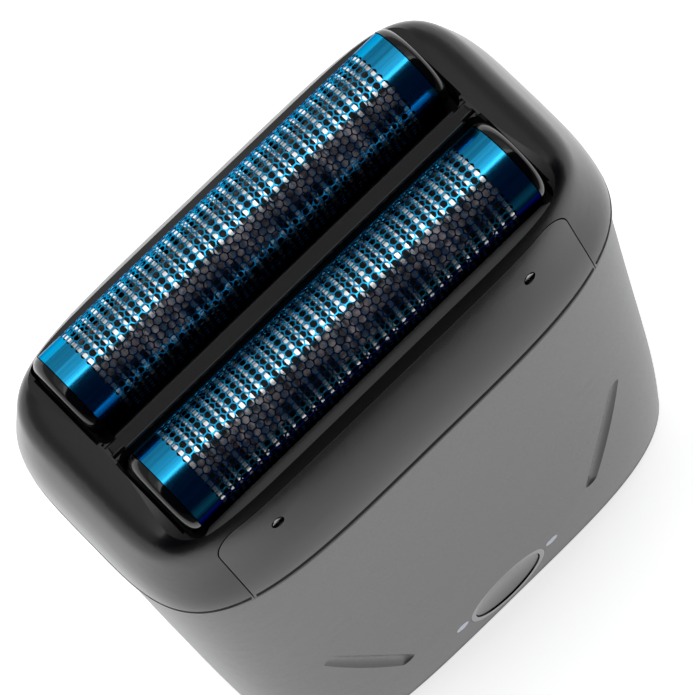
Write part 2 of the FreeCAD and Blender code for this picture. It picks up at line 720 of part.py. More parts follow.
def deck_screws():
    """Four screws through deck, spacer and bracket."""
    length = BODY_TOP_Z - MOTOR_TOP + 1.5
    screws = []
    for x in (-23, 23):
        for y in (-8, 8):
            screws.append(screw(length, 1.05, 2.0, 1.2, BODY_TOP_Z, V(x, y, 0)))
    return screws


def drive_seals():
    """Soft boots in the deck round the two cutter posts."""
    seals = []
    for side in SIDES.values():
        y = side * FOIL_Y
        flange = rounded_block(5.4, 4.0, 3.8, BODY_TOP_Z, SEAM_Z + 0.3, y)
        cone = Part.makeLoft([rounded_rectangle(4.9, 3.5, 3.4, SEAM_Z + 0.2, y),
                              rounded_rectangle(3.9, 2.6, 2.5, SEAM_Z + 3.0, y)], True, True)
        way = rounded_block(3.3, 2.1, 2.0, SEAM_Z - 2, SEAM_Z + 4, y)
        seals.append(fuse([flange, cone]).cut(way))
    return seals


# ---------------------------------------------------------------- body
def body_half(side):
    """Front or rear half of the body shell."""
    top = BODY_TOP_Z
    sections = slice_of(BODY_SECTIONS, BASE_HEIGHT, top, 0.0)
    outer = loft(sections)
    inner = loft(stretched_past([(z, a - WALL, b - WALL, n) for z, a, b, n in sections], 2.0, 2.0))
    shell = outer.cut(inner)
    joint = 0.05
    keep = box((-60, 60), sorted((side * joint, side * 60)), (-10, 200))
    half = shell.common(keep)
    if side < 0:
        half = cut(half, front_openings() + front_grooves())
    return half


def front_openings():
    """Holes in the front shell for the button's ring and the two lights."""
    tools = [cylinder(BUTTON_RADIUS + 0.9, 12, 24, -Y_AXIS, V(0, 0, BUTTON_Z))]
    for x in (-LIGHT_X, LIGHT_X):
        tools.append(cylinder(LIGHT_RADIUS + 0.02, 12, 24, -Y_AXIS, V(x, 0, BUTTON_Z + 1.0)))
    return tools


def front_grooves():
    """Two shallow slanted grooves in the lower front."""
    grooves = []
    radius = 1.6
    depth = 0.3
    low = V(14.7, 0, 0.18 * LIP_Z)
    high = V(21.9, 0, 0.41 * LIP_Z)
    for side in (-1, 1):
        ends = []
        for point in (low, high):
            a, b, n = section_at(BODY_SECTIONS, point.z)
            surface = b * (1.0 - (point.x / a) ** n) ** (1.0 / n)
            ends.append(V(side * point.x, -(surface + radius - depth), point.z))
        run = ends[1] - ends[0]
        grooves.append(Part.makeCylinder(radius, run.Length, ends[0], run))
        grooves.extend(Part.makeSphere(radius, end) for end in ends)
    return grooves


def base_cap():
    """Bottom cap, with a recess for the pad and a mouth for the charging socket."""
    sections = slice_of(BODY_SECTIONS, PAD_RISE, BASE_HEIGHT, 0.0)
    cap = loft(sections)
    a, b, n = section_at(BODY_SECTIONS, BASE_HEIGHT)
    inset = WALL + 0.1
    plug = loft([(BASE_HEIGHT - 0.5, a - inset, b - inset, n), (BASE_HEIGHT + 1.5, a - inset, b - inset, n)])
    hollow = loft([(1.8, a - 4.0, b - 4.0, n), (BASE_HEIGHT + 3.0, a - 4.0, b - 4.0, n)])
    recess = loft([(-1.0, 26.5, 12.5, 4.2), (PAD_THICKNESS, 26.5, 12.5, 4.2)])
    mouth = rounded_block(4.7, 1.8, 1.7, -2.0, 8.0)
    return cut(fuse([cap, plug]), [hollow, recess, mouth])


def base_pad():
    """Soft pad in the base, standing a little proud, that the shaver rests on."""
    pad = loft([(0.0, 26.45, 12.45, 4.2), (PAD_THICKNESS, 26.45, 12.45, 4.2)])
    mouth = rounded_block(5.2, 2.3, 2.2, -2.0, 3.0)
    return pad.cut(mouth)


def charge_socket():
    """Metal-shelled charging socket, its mouth facing down through the base."""
    shell = rounded_block(4.47, 1.6, 1.55, 0.6, 7.4)
    mouth = rounded_block(4.17, 1.3, 1.25, 0.0, 6.4)
    tongue = box((-3.3, 3.3), (-0.35, 0.35), (1.4, 6.8))
    return fuse([shell.cut(mouth), tongue])


def socket_board():
    """Small carrier that holds the charging socket on the base cap."""
    board = box((-9, 9), (-5, 5), (4.55, 5.75))
    return board.cut(rounded_block(4.5, 1.63, 1.55, 0.0, 9.0))


def power_button():
    """Round push button with a dished face and a stem for the switch."""
    depth = front_depth(BUTTON_Z)
    at = V(0, 0, BUTTON_Z)
    cap = cylinder(BUTTON_RADIUS, depth - 2.6, depth - 0.1, -Y_AXIS, at)
    dish_radius = 40.0
    dish = Part.makeSphere(dish_radius, V(0, -(depth - 0.1 + dish_radius - 0.35), BUTTON_Z))
    flange = cylinder(BUTTON_RADIUS + 0.4, depth - 3.2, depth - 2.4, -Y_AXIS, at)
    stem = cylinder(1.4, SWITCH_FACE + BUTTON_TRAVEL + 0.05, depth - 3.0, -Y_AXIS, at)
    return fuse([cap.cut(dish), flange, stem])


def front_depth(z):
    """Distance of the front surface from the middle at height z."""
    return section_at(BODY_SECTIONS, z)[1]


def button_ring():
    """Polished ring in the front shell round the button."""
    depth = front_depth(BUTTON_Z)
    at = V(0, 0, BUTTON_Z)
    ring = cylinder(BUTTON_RADIUS + 0.85, depth - 1.7, depth + 0.02, -Y_AXIS, at)
    return ring.cut(cylinder(BUTTON_RADIUS + 0.12, depth - 3, depth + 2, -Y_AXIS, at))


def status_lights():
    """Two clear light pipes beside the button."""
    pipes = []
    for x in (-LIGHT_X, LIGHT_X):
        a, b, n = section_at(BODY_SECTIONS, BUTTON_Z + 1.0)
        surface = b * (1.0 - (abs(x) / a) ** n) ** (1.0 / n)
        at = V(x, 0, BUTTON_Z + 1.0)
        pipes.append(cylinder(LIGHT_RADIUS, BOARD_FACE + 0.8, surface + 0.02, -Y_AXIS, at))
    return pipes


BOARD_FACE = 9.6               # front of the circuit board, measured forward from the middle
BOARD_THICKNESS = 1.2
SWITCH_FACE = BOARD_FACE + 1.6


def circuit_board():
    """Control board behind the front shell."""
    return box((-15, 15), (-BOARD_FACE, -BOARD_FACE + BOARD_THICKNESS), (5.6, 44.0))


def board_parts():
    """Chips, coil and two lamps on the board."""
    face = -BOARD_FACE
    chips = [box((-9, -3), (face - 1.1, face), (20, 26)), box((2, 10), (face - 1.4, face), (19, 27)),
             box((-6, 6), (face - 0.9, face), (30, 36)), box((-12, -9), (face - 1.8, face), (31, 37))]
    for x in (-LIGHT_X, LIGHT_X):
        chips.append(box((x - 0.8, x + 0.8), (face - 0.6, face), (BUTTON_Z + 0.2, BUTTON_Z + 1.8)))
    return chips


def tact_switch():
    """Push switch behind the power button."""
    housing = box((-3, 3), (-BOARD_FACE - 1.2, -BOARD_FACE), (BUTTON_Z - 3, BUTTON_Z + 3))
    plunger = cylinder(1.2, BOARD_FACE + 1.1, SWITCH_FACE, -Y_AXIS, V(0, 0, BUTTON_Z))
    return fuse([housing, plunger])


CELL_RADIUS = 7.1
CELL_LOW = 8.2
CELL_HEIGHT = 43.0
CELL_Y = 1.4


def battery_cell():
    """Round lithium cell with its raised positive end."""
    at = V(0, CELL_Y, 0)
    can = cylinder(CELL_RADIUS, CELL_LOW, CELL_LOW + CELL_HEIGHT - 0.8, at=at)
    tip = cylinder(2.6, CELL_LOW + CELL_HEIGHT - 1.0, CELL_LOW + CELL_HEIGHT, at=at)
    return fuse([can, tip])


def battery_tabs():
    """Nickel strips on the two ends of the cell."""
    thickness = 0.15
    tabs = []
    for z in (CELL_LOW - thickness, CELL_LOW + CELL_HEIGHT):
        tabs.append(box((-2.0, 2.0), (CELL_Y - 9.0, CELL_Y + 2.0), (z, z + thickness)))
    return tabs


def chassis():
    """Back plate with cradles for the cell and the motor."""
    low = 5.4
    back = box((-19, 19), (10.9, 12.3), (low, MOTOR_TOP))
    cradles = []
    for z in (14.0, 40.0):
        cradles.append(box((-11, 11), (-3, 11.0), (z, z + 2.0)))
    motor_cradle_z = MOTOR_TOP - 12.0
    cradles.append(box((-14, 14), (-2, 11.0), (motor_cradle_z, motor_cradle_z + 2.0)))
    cell_way = cylinder(CELL_RADIUS + 0.08, 0, CELL_LOW + CELL_HEIGHT + 0.5, at=V(0, CELL_Y, 0))
    motor_way = cylinder(MOTOR_RADIUS + 0.08, MOTOR_TOP - MOTOR_HEIGHT - 1, MOTOR_TOP + 1)
    return cut(fuse([back] + cradles), [cell_way, motor_way])


# ---------------------------------------------------------------- write every node
def main():
    """Build each sub-part and write it to its own file."""
    os.makedirs("parts", exist_ok=True)
    export(head_hood(), "head_hood")
    export(panel_pins(), "panel_pins")
    export(foil_cassette(), "foil_cassette")
    for name, side in SIDES.items():
        export(head_panel(side), f"{name}_head_panel")
        export(foil_sheet(side), f"{name}_foil")
        export(end_caps(side), f"{name}_foil_end_caps")
        export(foil_frame(side), f"{name}_foil_frame")
        export(foil_springs(side), f"{name}_foil_springs")
        export(cutter_blades(side), f"{name}_cutter_blades")
        export(cutter_core(side), f"{name}_cutter_core")
        export(cutter_spring(side), f"{name}_cutter_spring")
        export(drive_link(side), f"{name}_drive_link")
        export(body_half(side), f"{name}_shell")
    export(drive_guides(), "drive_guides")
    export(drive_seals(), "drive_seals")
    export(eccentric_cam(), "eccentric_cam")
    export(motor_shaft(), "motor_shaft")
    export(motor_rotor(), "motor_rotor")
    export(motor_can(), "motor_can")
    export(motor_magnets(), "motor_magnets")
    export(motor_end_cap(), "motor_end_cap")
    export(motor_bracket(), "motor_bracket")
    export(motor_screws(), "motor_screws")
    export(top_deck(), "top_deck")
    export(deck_gasket(), "deck_gasket")
    export(deck_posts(), "deck_posts")
    export(deck_screws(), "deck_screws")
    export(chassis(), "chassis")
    export(battery_cell(), "battery_cell")
    export(battery_tabs(), "battery_tabs")
    export(circuit_board(), "circuit_board")
    export(board_parts(), "board_parts")
    export(tact_switch(), "tact_switch")
    export(power_button(), "power_button")
    export(button_ring(), "button_ring")
    export(status_lights(), "status_lights")
    export(charge_socket(), "charge_socket")
    export(socket_board(), "socket_board")
    export(base_cap(), "base_cap")
    export(base_pad(), "base_pad")


main()
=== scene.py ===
import json
import math

import bpy
from mathutils import Matrix, Vector
from mathutils.bvhtree import BVHTree

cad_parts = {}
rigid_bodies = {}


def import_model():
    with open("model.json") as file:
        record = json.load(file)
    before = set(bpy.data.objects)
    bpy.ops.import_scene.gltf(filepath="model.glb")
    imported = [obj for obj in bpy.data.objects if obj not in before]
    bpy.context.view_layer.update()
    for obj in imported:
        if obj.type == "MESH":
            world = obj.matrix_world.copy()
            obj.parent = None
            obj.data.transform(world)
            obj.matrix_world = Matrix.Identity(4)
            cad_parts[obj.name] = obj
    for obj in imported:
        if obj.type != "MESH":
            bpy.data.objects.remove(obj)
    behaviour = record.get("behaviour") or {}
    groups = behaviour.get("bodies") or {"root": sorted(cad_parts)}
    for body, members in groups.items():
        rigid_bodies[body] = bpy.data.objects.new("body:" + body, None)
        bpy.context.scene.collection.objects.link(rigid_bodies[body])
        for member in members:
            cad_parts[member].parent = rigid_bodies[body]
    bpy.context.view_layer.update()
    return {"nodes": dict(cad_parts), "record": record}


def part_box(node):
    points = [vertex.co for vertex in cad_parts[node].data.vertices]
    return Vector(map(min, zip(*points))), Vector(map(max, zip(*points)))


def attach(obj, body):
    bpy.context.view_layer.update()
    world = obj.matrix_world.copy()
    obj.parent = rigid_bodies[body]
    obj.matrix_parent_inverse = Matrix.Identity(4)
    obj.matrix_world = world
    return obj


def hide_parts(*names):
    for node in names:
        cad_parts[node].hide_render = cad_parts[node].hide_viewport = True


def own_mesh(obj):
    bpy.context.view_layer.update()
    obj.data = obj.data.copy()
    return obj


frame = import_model()
NODES = frame["nodes"]

# Looks of a two-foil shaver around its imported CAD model. Lengths are in metres, and the shaver
# faces -Y.

MM = 0.001
Y, Z = 1, 2                           # axes
HEAD_LOW, HEAD_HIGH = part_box("head_hood")
RIM_CROWN = 1.4 * MM                  # the rim's rise in the middle of each end
LIP_Z = HEAD_HIGH.z - RIM_CROWN       # height of the rim along its long sides


# ------------------------------------------------------------------ shared helpers
def placed(name, data):
    """New object in the scene, around its data."""
    made = bpy.data.objects.new(name, data)
    bpy.context.scene.collection.objects.link(made)
    return made


def smooth(mesh):
    """Shade every face of a mesh smooth."""
    mesh.polygons.foreach_set("use_smooth", [True] * len(mesh.polygons))


# ------------------------------------------------------------------ camera
CAMERA_AZIMUTH = math.radians(-15.2)
CAMERA_ELEVATION = math.radians(73.8)
CAMERA_ROLL = math.radians(29.4)
CAMERA_DISTANCE = 470 * MM
CAMERA_LENS = 248.0                   # lens and sensor are in millimetres
CAMERA_SENSOR = 36.0
CAMERA_CLIP = 10 * MM
AIM_RIGHT = 5.5 * MM                  # from the middle of the rim, across the view
AIM_DOWN = 6.42 * MM                  # from the middle of the rim, down the view


def make_camera():
    """Camera above the front of the shaver, looking steeply down at its head."""
    back = Vector((math.sin(CAMERA_AZIMUTH) * math.cos(CAMERA_ELEVATION),
                   -math.cos(CAMERA_AZIMUTH) * math.cos(CAMERA_ELEVATION),
                   math.sin(CAMERA_ELEVATION)))
    level = Vector((math.cos(CAMERA_AZIMUTH), math.sin(CAMERA_AZIMUTH), 0.0))
    up = back.cross(level)
    right = level * math.cos(CAMERA_ROLL) - up * math.sin(CAMERA_ROLL)
    upward = level * math.sin(CAMERA_ROLL) + up * math.cos(CAMERA_ROLL)
    data = bpy.data.cameras.new("camera")
    data.lens = CAMERA_LENS
    data.sensor_width = CAMERA_SENSOR
    data.clip_start = CAMERA_CLIP
    camera = placed("camera", data)
    matrix = Matrix((right, upward, back)).transposed().to_4x4()
    matrix.translation = (Vector((0, 0, LIP_Z)) + right * AIM_RIGHT - upward * AIM_DOWN
                          + back * CAMERA_DISTANCE)
    camera.matrix_world = matrix
    bpy.context.scene.camera = camera


# ------------------------------------------------------------------ shader kit
NOISE_LOW, NOISE_HIGH = 0.3, 0.7      # usual span of a noise texture
CLOUD_SIZE = 14 * MM                  # of the faint patches in moulded plastic
DRAWN_OUT = 0.04                      # scale of a metal's marks along their axis


class Shader:
    """A principled material and short ways to feed its sockets."""

    def __init__(self, name):
        self.material = bpy.data.materials.new(name)
        self.material.use_nodes = True
        self.tree = self.material.node_tree
        self.bsdf = self.tree.nodes["Principled BSDF"]
        self.coordinates = self.add("ShaderNodeTexCoord").outputs["Object"]

    def add(self, kind, **settings):
        """New node of a kind, with its settings."""
        node = self.tree.nodes.new(kind)
        for key, value in settings.items():
            setattr(node, key, value)
        return node

    def link(self, output, target):
        """Wire from one node's output to another's input."""
        self.tree.links.new(output, target)

    def feed(self, name, output):
        """Wire from an output to one of the principled shader's sockets."""
        self.link(output, self.bsdf.inputs[name])

    def set(self, **values):
        """Uniform values of the principled shader's sockets."""
        for key, value in values.items():
            self.bsdf.inputs[key.replace("_", " ")].default_value = value

    def stretched(self, scale):
        """Object coordinates scaled by three factors, to draw a texture out along an axis."""
        mapping = self.add("ShaderNodeMapping")
        mapping.inputs["Scale"].default_value = scale
        self.link(self.coordinates, mapping.inputs["Vector"])
        return mapping.outputs["Vector"]

    def noise(self, size, detail=2.0, roughness=0.5, vector=None):
        """Noise whose features are about size across."""
        node = self.add("ShaderNodeTexNoise")
        node.inputs["Scale"].default_value = 1.0 / size
        node.inputs["Detail"].default_value = detail
        node.inputs["Roughness"].default_value = roughness
        self.link(vector or self.coordinates, node.inputs["Vector"])
        return node.outputs["Fac"]

    def ramp(self, value, low, high, out_low=0.0, out_high=1.0):
        """Value from low to high turned into a number from out_low to out_high."""
        node = self.add("ShaderNodeMapRange")
        for key, number in (("From Min", low), ("From Max", high),
                            ("To Min", out_low), ("To Max", out_high)):
            node.inputs[key].default_value = number
        self.link(value, node.inputs["Value"])
        return node.outputs["Result"]

    def blend(self, factor, first, second):
        """Colour between first and second, each a colour or an output."""
        node = self.add("ShaderNodeMix", data_type="RGBA")
        ends = [socket for socket in node.inputs if socket.type == "RGBA"]
        for socket, value in zip(ends, (first, second)):
            if isinstance(value, bpy.types.NodeSocket):
                self.link(value, socket)
            else:
                socket.default_value = (*value, 1.0)
        self.link(factor, node.inputs["Factor"])
        return next(socket for socket in node.outputs if socket.type == "RGBA")

    def axis(self, name):
        """One of the object coordinates."""
        node = self.add("ShaderNodeSeparateXYZ")
        self.link(self.coordinates, node.inputs["Vector"])
        return node.outputs[name]

    def folded_y(self):
        """Object Y with the rear unit's stretch laid over the front unit's, and the middle of
        that stretch, which is negative."""
        low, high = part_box("front_foil")
        middle = 0.5 * (low.y + high.y)
        node = self.add("ShaderNodeMath", operation="WRAP")
        self.link(self.axis("Y"), node.inputs[0])
        node.inputs[1].default_value = 0.0
        node.inputs[2].default_value = 2.0 * middle
        return node.outputs["Value"], middle

    def bump(self, height, distance, strength):
        """Bump on the shader's normal."""
        node = self.add("ShaderNodeBump")
        node.inputs["Strength"].default_value = strength
        node.inputs["Distance"].default_value = distance
        self.link(height, node.inputs["Height"])
        self.feed("Normal", node.outputs["Normal"])


def moulded(name, colour, shade, roughness, grain, depth, spread, specular):
    """Moulded plastic or rubber: faint cloudy tone, fine spark-eroded grain. The grain's size and
    depth are in millimetres."""
    shader = Shader(name)
    cloud = shader.ramp(shader.noise(CLOUD_SIZE, 3.0), 0.35, 0.65)
    shader.feed("Base Color", shader.blend(cloud, colour, shade))
    fine = shader.noise(grain * MM, 2.0, 0.6)
    shader.feed("Roughness", shader.ramp(fine, NOISE_LOW, NOISE_HIGH, roughness - spread,
                                         roughness + spread))
    shader.set(Specular_IOR_Level=specular)
    shader.bump(fine, depth * MM, 0.6)
    return shader.material


def metal(name, colour, shade, roughness, along, grain, depth):
    """Bare or plated metal, its fine marks drawn out along an axis when one is named. The marks'
    size and depth are in millimetres."""
    shader = Shader(name)
    vector = None
    if along is not None:
        scale = [1.0, 1.0, 1.0]
        scale[along] = DRAWN_OUT
        vector = shader.stretched(scale)
    marks = shader.noise(grain * MM, 3.0, 0.6, vector)
    shader.feed("Base Color", shader.blend(shader.ramp(marks, NOISE_LOW, NOISE_HIGH), colour, shade))
    shader.feed("Roughness", shader.ramp(marks, NOISE_LOW, NOISE_HIGH, roughness * 0.8,
                                         roughness * 1.25))
    shader.set(Metallic=1.0)
    shader.bump(marks, depth * MM, 0.5)
    return shader.material


# ------------------------------------------------------------------ foils and cutters
COAT_TONES = ((0.014, 0.27, 0.50), (0.020, 0.34, 0.62))
COAT_LINES = (0.006, 0.16, 0.33)      # drawing lines in the blue coat
COAT_FOOT_SHADE = (0.001, 0.012, 0.04)      # painted shade at the foot of a foil's front slope
COAT_TINT = (0.28, 0.42, 0.55, 1.0)   # at grazing angles
FOOT_SHADE_START, FOOT_SHADE_END = 0.90, 0.95     # of the foil's radius, in front of its axis, where the painted shade sets in and is full
DRAWN_FINE = (0.03, 1.0, 1.0)         # coordinate scales of the lines along a foil
DRAWN_BROAD = (0.012, 1.0, 1.0)

CARRIER_BLACK = (0.003, 0.003, 0.003)
LUG_TONES = ((0.09, 0.075, 0.075), (0.54, 0.45, 0.43))
LUG_PATCH = 1.3 * MM
LUG_START, LUG_FULL = 0.8 * MM, 1.1 * MM  # in front of the cutter's axis, where the brown sets in
LUG_FOOT = 2.65 * MM                  # below the foil's crown
LUG_FADE = 0.1 * MM


def coated_foil():
    """Thin steel under a clear blue coat, with painted shade at the foot of its front slope,
    and faint drawing lines along the foil."""
    shader = Shader("blue_foil")
    fine = shader.noise(0.05 * MM, 3.0, 0.6, shader.stretched(DRAWN_FINE))
    broad = shader.noise(0.55 * MM, 3.0, 0.55, shader.stretched(DRAWN_BROAD))
    tone = shader.blend(shader.ramp(broad, 0.42, 0.58), *COAT_TONES)
    lined = shader.blend(shader.ramp(fine, 0.60, 0.72, 0.0, 0.5), tone, COAT_LINES)
    folded, middle = shader.folded_y()
    low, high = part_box("front_foil")
    radius = 0.5 * (high.y - low.y)
    # Painted shade: the coat's colour darkens at the foot of the front slope, where the rim shades
    # the foil.
    foot_shade = shader.ramp(folded, middle - FOOT_SHADE_START * radius, middle - FOOT_SHADE_END * radius)
    shader.feed("Base Color", shader.blend(foot_shade, lined, COAT_FOOT_SHADE))
    shader.feed("Roughness", shader.ramp(fine, NOISE_LOW, NOISE_HIGH, 0.13, 0.2))
    shader.set(Metallic=1.0, Specular_Tint=COAT_TINT)
    shader.bump(broad, 0.004 * MM, 0.5)
    return shader.material


def cutter_plastic():
    """Dark carrier whose raised lugs, on the front slope of each cutter, are a dull brown."""
    shader = Shader("cutter_plastic")
    folded, middle = shader.folded_y()
    forward = shader.ramp(folded, middle - LUG_START, middle - LUG_FULL)
    lug_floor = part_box("front_foil")[1].z - LUG_FOOT
    raised = shader.ramp(shader.axis("Z"), lug_floor, lug_floor + LUG_FADE)
    patches = shader.ramp(shader.noise(LUG_PATCH, 3.0), 0.40, 0.60)
    lugs = shader.blend(patches, *LUG_TONES)
    raised_lugs = shader.blend(raised, CARRIER_BLACK, lugs)
    shader.feed("Base Color", shader.blend(forward, CARRIER_BLACK, raised_lugs))
    shader.set(Roughness=0.55)
    shader.bump(shader.noise(0.1 * MM, 2.0), 0.01 * MM, 0.5)
    return shader.material


# ------------------------------------------------------------------ materials
def grey(value):
    """Slightly cool grey."""
    return (value, value * 1.03, value * 1.07)


# Slot: two tones, roughness, grain and depth in millimetres, spread of the roughness, specular.
MOULDED = {
    "head_plastic": (grey(0.0035), grey(0.005), 0.22, 0.16, 0.002, 0.02, 0.36),
    "panel_plastic": (grey(0.006), grey(0.008), 0.22, 0.12, 0.002, 0.02, 0.56),
    "body_plastic": (grey(0.005), grey(0.007), 0.27, 0.12, 0.002, 0.02, 0.2),
    "inner_plastic": (grey(0.003), grey(0.004), 0.5, 0.2, 0.01, 0.06, 0.25),
    "gloss_cap": (grey(0.002), grey(0.003), 0.1, 0.5, 0.0005, 0.03, 0.3),
    "acetal": ((0.80, 0.80, 0.78), (0.76, 0.76, 0.73), 0.38, 0.2, 0.004, 0.06, 0.5),
    "seal_rubber": (grey(0.003), grey(0.004), 0.62, 0.1, 0.01, 0.06, 0.1),
    "ferrite": (grey(0.05), grey(0.035), 0.6, 0.2, 0.02, 0.06, 0.5),
    "cell_wrap": ((0.02, 0.14, 0.30), (0.02, 0.12, 0.26), 0.25, 0.4, 0.004, 0.06, 0.5),
    "board_green": ((0.015, 0.12, 0.045), (0.012, 0.10, 0.036), 0.3, 0.3, 0.006, 0.06, 0.5),
    "chip_black": (grey(0.02), grey(0.025), 0.5, 0.08, 0.008, 0.06, 0.5),
    "button_plastic": (grey(0.004), grey(0.006), 0.2, 0.12, 0.003, 0.06, 0.5),
    "light_lens": ((0.62, 0.68, 0.80), (0.56, 0.62, 0.75), 0.3, 0.3, 0.002, 0.06, 0.5),
    "pad_rubber": (grey(0.024), grey(0.03), 0.66, 0.14, 0.02, 0.06, 0.5),
}

# Slot: two tones, roughness, axis of the marks, their size and depth in millimetres.
METALS = {
    "blade_steel": ((0.96, 0.95, 0.94), (0.84, 0.83, 0.82), 0.3, Y, 0.05, 0.002),
    "dark_steel": ((0.30, 0.30, 0.31), (0.22, 0.22, 0.23), 0.2, None, 0.05, 0.002),
    "spring_steel": ((0.55, 0.55, 0.56), (0.45, 0.45, 0.46), 0.28, None, 0.05, 0.002),
    "copper_winding": ((0.62, 0.27, 0.12), (0.48, 0.19, 0.08), 0.3, None, 0.3, 0.05),
    "motor_steel": ((0.52, 0.52, 0.52), (0.44, 0.44, 0.45), 0.3, Z, 0.05, 0.002),
    "screw_steel": ((0.48, 0.48, 0.49), (0.38, 0.38, 0.39), 0.3, None, 0.05, 0.002),
    "brass_spacer": ((0.68, 0.50, 0.22), (0.58, 0.42, 0.17), 0.28, Z, 0.05, 0.002),
    "nickel": ((0.62, 0.60, 0.54), (0.54, 0.52, 0.46), 0.3, Y, 0.05, 0.002),
    "button_ring_metal": ((0.16, 0.16, 0.17), (0.12, 0.12, 0.125), 0.2, None, 0.05, 0.002),
    "socket_metal": ((0.62, 0.62, 0.63), (0.52, 0.52, 0.53), 0.26, Z, 0.05, 0.002),
}


def make_materials():
    """Material for each of the record's slots."""
    made = {slot: moulded(slot, *look) for slot, look in MOULDED.items()}
    made.update((slot, metal(slot, *look)) for slot, look in METALS.items())
    made["blue_foil"] = coated_foil()
    made["cutter_plastic"] = cutter_plastic()
    return made


def paint_nodes(materials):
    """Give every CAD node the material of its slot."""
    for part in frame["record"]["subparts"]:
        node = NODES[part["node"]]
        material = materials[part["material_slot"]]
        if not node.material_slots:
            node.data.materials.append(material)
        for slot in node.material_slots:
            slot.material = material


# ------------------------------------------------------------------ perforated foils
HOLE_PITCH = 0.86 * MM                # across the flats, from hole to hole
STRUT = 0.13 * MM                     # metal left between two holes
FOIL_GAUGE = 0.08 * MM
HOLE_CORNER = 0.22                    # part of each hole's side taken by its rounded corner
PERFORATED_HALF_LENGTH = 20.1 * MM
PERFORATED_BELOW_AXIS = 0.9 * MM
WELD_STEPS = 1e7                      # per metre: points that round to the same step are one


class FoilForm:
    """Half cylinder with straight legs, unrolled as x along it and s round it."""

    def __init__(self, node):
        low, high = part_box(node)
        self.radius = 0.5 * (high.y - low.y)
        self.middle = 0.5 * (high.y + low.y)
        self.axis_z = high.z - self.radius
        self.half_length = high.x
        self.half_arc = 0.5 * math.pi * self.radius
        self.reach = self.half_arc + self.axis_z - low.z

    def place(self, x, s, depth):
        """Point at x, s, sunk below the surface by depth, and the surface's normal there."""
        angle = max(-self.half_arc, min(self.half_arc, s)) / self.radius
        normal = Vector((0.0, math.sin(angle), math.cos(angle)))
        drop = max(0.0, abs(s) - self.half_arc)
        point = Vector((x, self.middle, self.axis_z - drop)) + normal * (self.radius - depth)
        return point, normal


def clipped(polygon, low_x, high_x, low_s, high_s):
    """Convex polygon cut to a rectangle."""
    for axis, limit, sign in ((0, low_x, 1), (0, high_x, -1), (1, low_s, 1), (1, high_s, -1)):
        kept = []
        for here, following in zip(polygon, polygon[1:] + polygon[:1]):
            a = sign * (here[axis] - limit)
            b = sign * (following[axis] - limit)
            if a >= 0:
                kept.append(here)
            if (a > 0 > b) or (a < 0 < b):
                t = a / (a - b)
                kept.append(tuple(p + t * (q - p) for p, q in zip(here, following)))
        polygon = kept
        if len(polygon) < 3:
            return []
    return polygon


def hexagon(x, s, flat_to_flat):
    """Corners of a hexagon that points along x."""
    radius = flat_to_flat / math.sqrt(3.0)
    turns = [math.radians(60 * k) for k in range(6)]
    return [(x + radius * math.cos(turn), s + radius * math.sin(turn)) for turn in turns]


def rounded_hexagon(x, s, flat_to_flat):
    """Three points for each corner of a hexagon with rounded corners."""
    corners = hexagon(x, s, flat_to_flat)
    rounded = []
    for k, corner in enumerate(corners):
        before, after = corners[k - 1], corners[(k + 1) % 6]
        start = tuple(c + HOLE_CORNER * (b - c) for c, b in zip(corner, before))
        end = tuple(c + HOLE_CORNER * (a - c) for c, a in zip(corner, after))
        middle = tuple(0.5 * c + 0.25 * (p + q) for c, p, q in zip(corner, start, end))
        rounded.append((start, middle, end))
    return rounded


def holed_cell(outer, hole):
    """Faces between the six corners of a cell and the six rounded corners of its hole."""
    faces = []
    for k in range(6):
        start, middle, end = hole[k]
        following = (k + 1) % 6
        faces.append([outer[k], middle, start])
        faces.append([outer[k], end, middle])
        faces.append([outer[k], outer[following], hole[following][0], end])
    return faces


def foil_skin(form):
    """Points x, s of an unrolled foil and its faces, holed where the foil is perforated."""
    column_pitch = HOLE_PITCH * math.sqrt(3.0) / 2.0
    columns = int(form.half_length / column_pitch) + 2
    rows = int(form.reach / HOLE_PITCH) + 2
    perforated_arc = form.half_arc + PERFORATED_BELOW_AXIS
    points, faces, index = [], [], {}

    def vertex(point):
        key = (round(point[0] * WELD_STEPS), round(point[1] * WELD_STEPS))
        if key not in index:
            index[key] = len(points)
            points.append(point)
        return index[key]

    for i in range(-columns, columns):
        x = (i + 0.5) * column_pitch
        for j in range(-rows, rows + 1):
            s = (j + 0.5 * (i % 2)) * HOLE_PITCH
            cell = clipped(hexagon(x, s, HOLE_PITCH), -form.half_length, form.half_length,
                           -form.reach, form.reach)
            outer = [vertex(p) for p in cell]
            if abs(x) <= PERFORATED_HALF_LENGTH and abs(s) <= perforated_arc:
                corners = rounded_hexagon(x, s, HOLE_PITCH - STRUT)
                faces += holed_cell(outer, [[vertex(p) for p in trio] for trio in corners])
                continue
            plain = [v for k, v in enumerate(outer) if v != outer[k - 1]]
            if len(plain) > 2:
                faces.append(plain)
    return points, faces


def foil_mesh(name, form):
    """Sheet with an outer and an inner skin, and walls along its edges and in its holes."""
    points, faces = foil_skin(form)
    count = len(points)
    places, normals = [], []
    for depth, way in ((0.0, 1.0), (FOIL_GAUGE, -1.0)):
        for x, s in points:
            point, normal = form.place(x, s, depth)
            places.append(point)
            normals.append(normal * way)
    sides = dict.fromkeys(side for face in faces for side in zip(face, face[1:] + face[:1]))
    walls = [[b, a, a + count, b + count] for a, b in sides if (b, a) not in sides]
    under = [[v + count for v in reversed(face)] for face in faces]
    mesh = bpy.data.meshes.new(name)
    mesh.from_pydata(places, [], faces + under + walls)
    mesh.update()
    if mesh.polygons[0].normal.dot(normals[faces[0][0]]) < 0:
        mesh.flip_normals()
    smooth(mesh)
    curved = len(faces) + len(under)
    loop_normals = []
    for polygon in mesh.polygons:
        for v in polygon.vertices:
            loop_normals.append(normals[v] if polygon.index < curved else polygon.normal.copy())
    mesh.normals_split_custom_set(loop_normals)
    return mesh


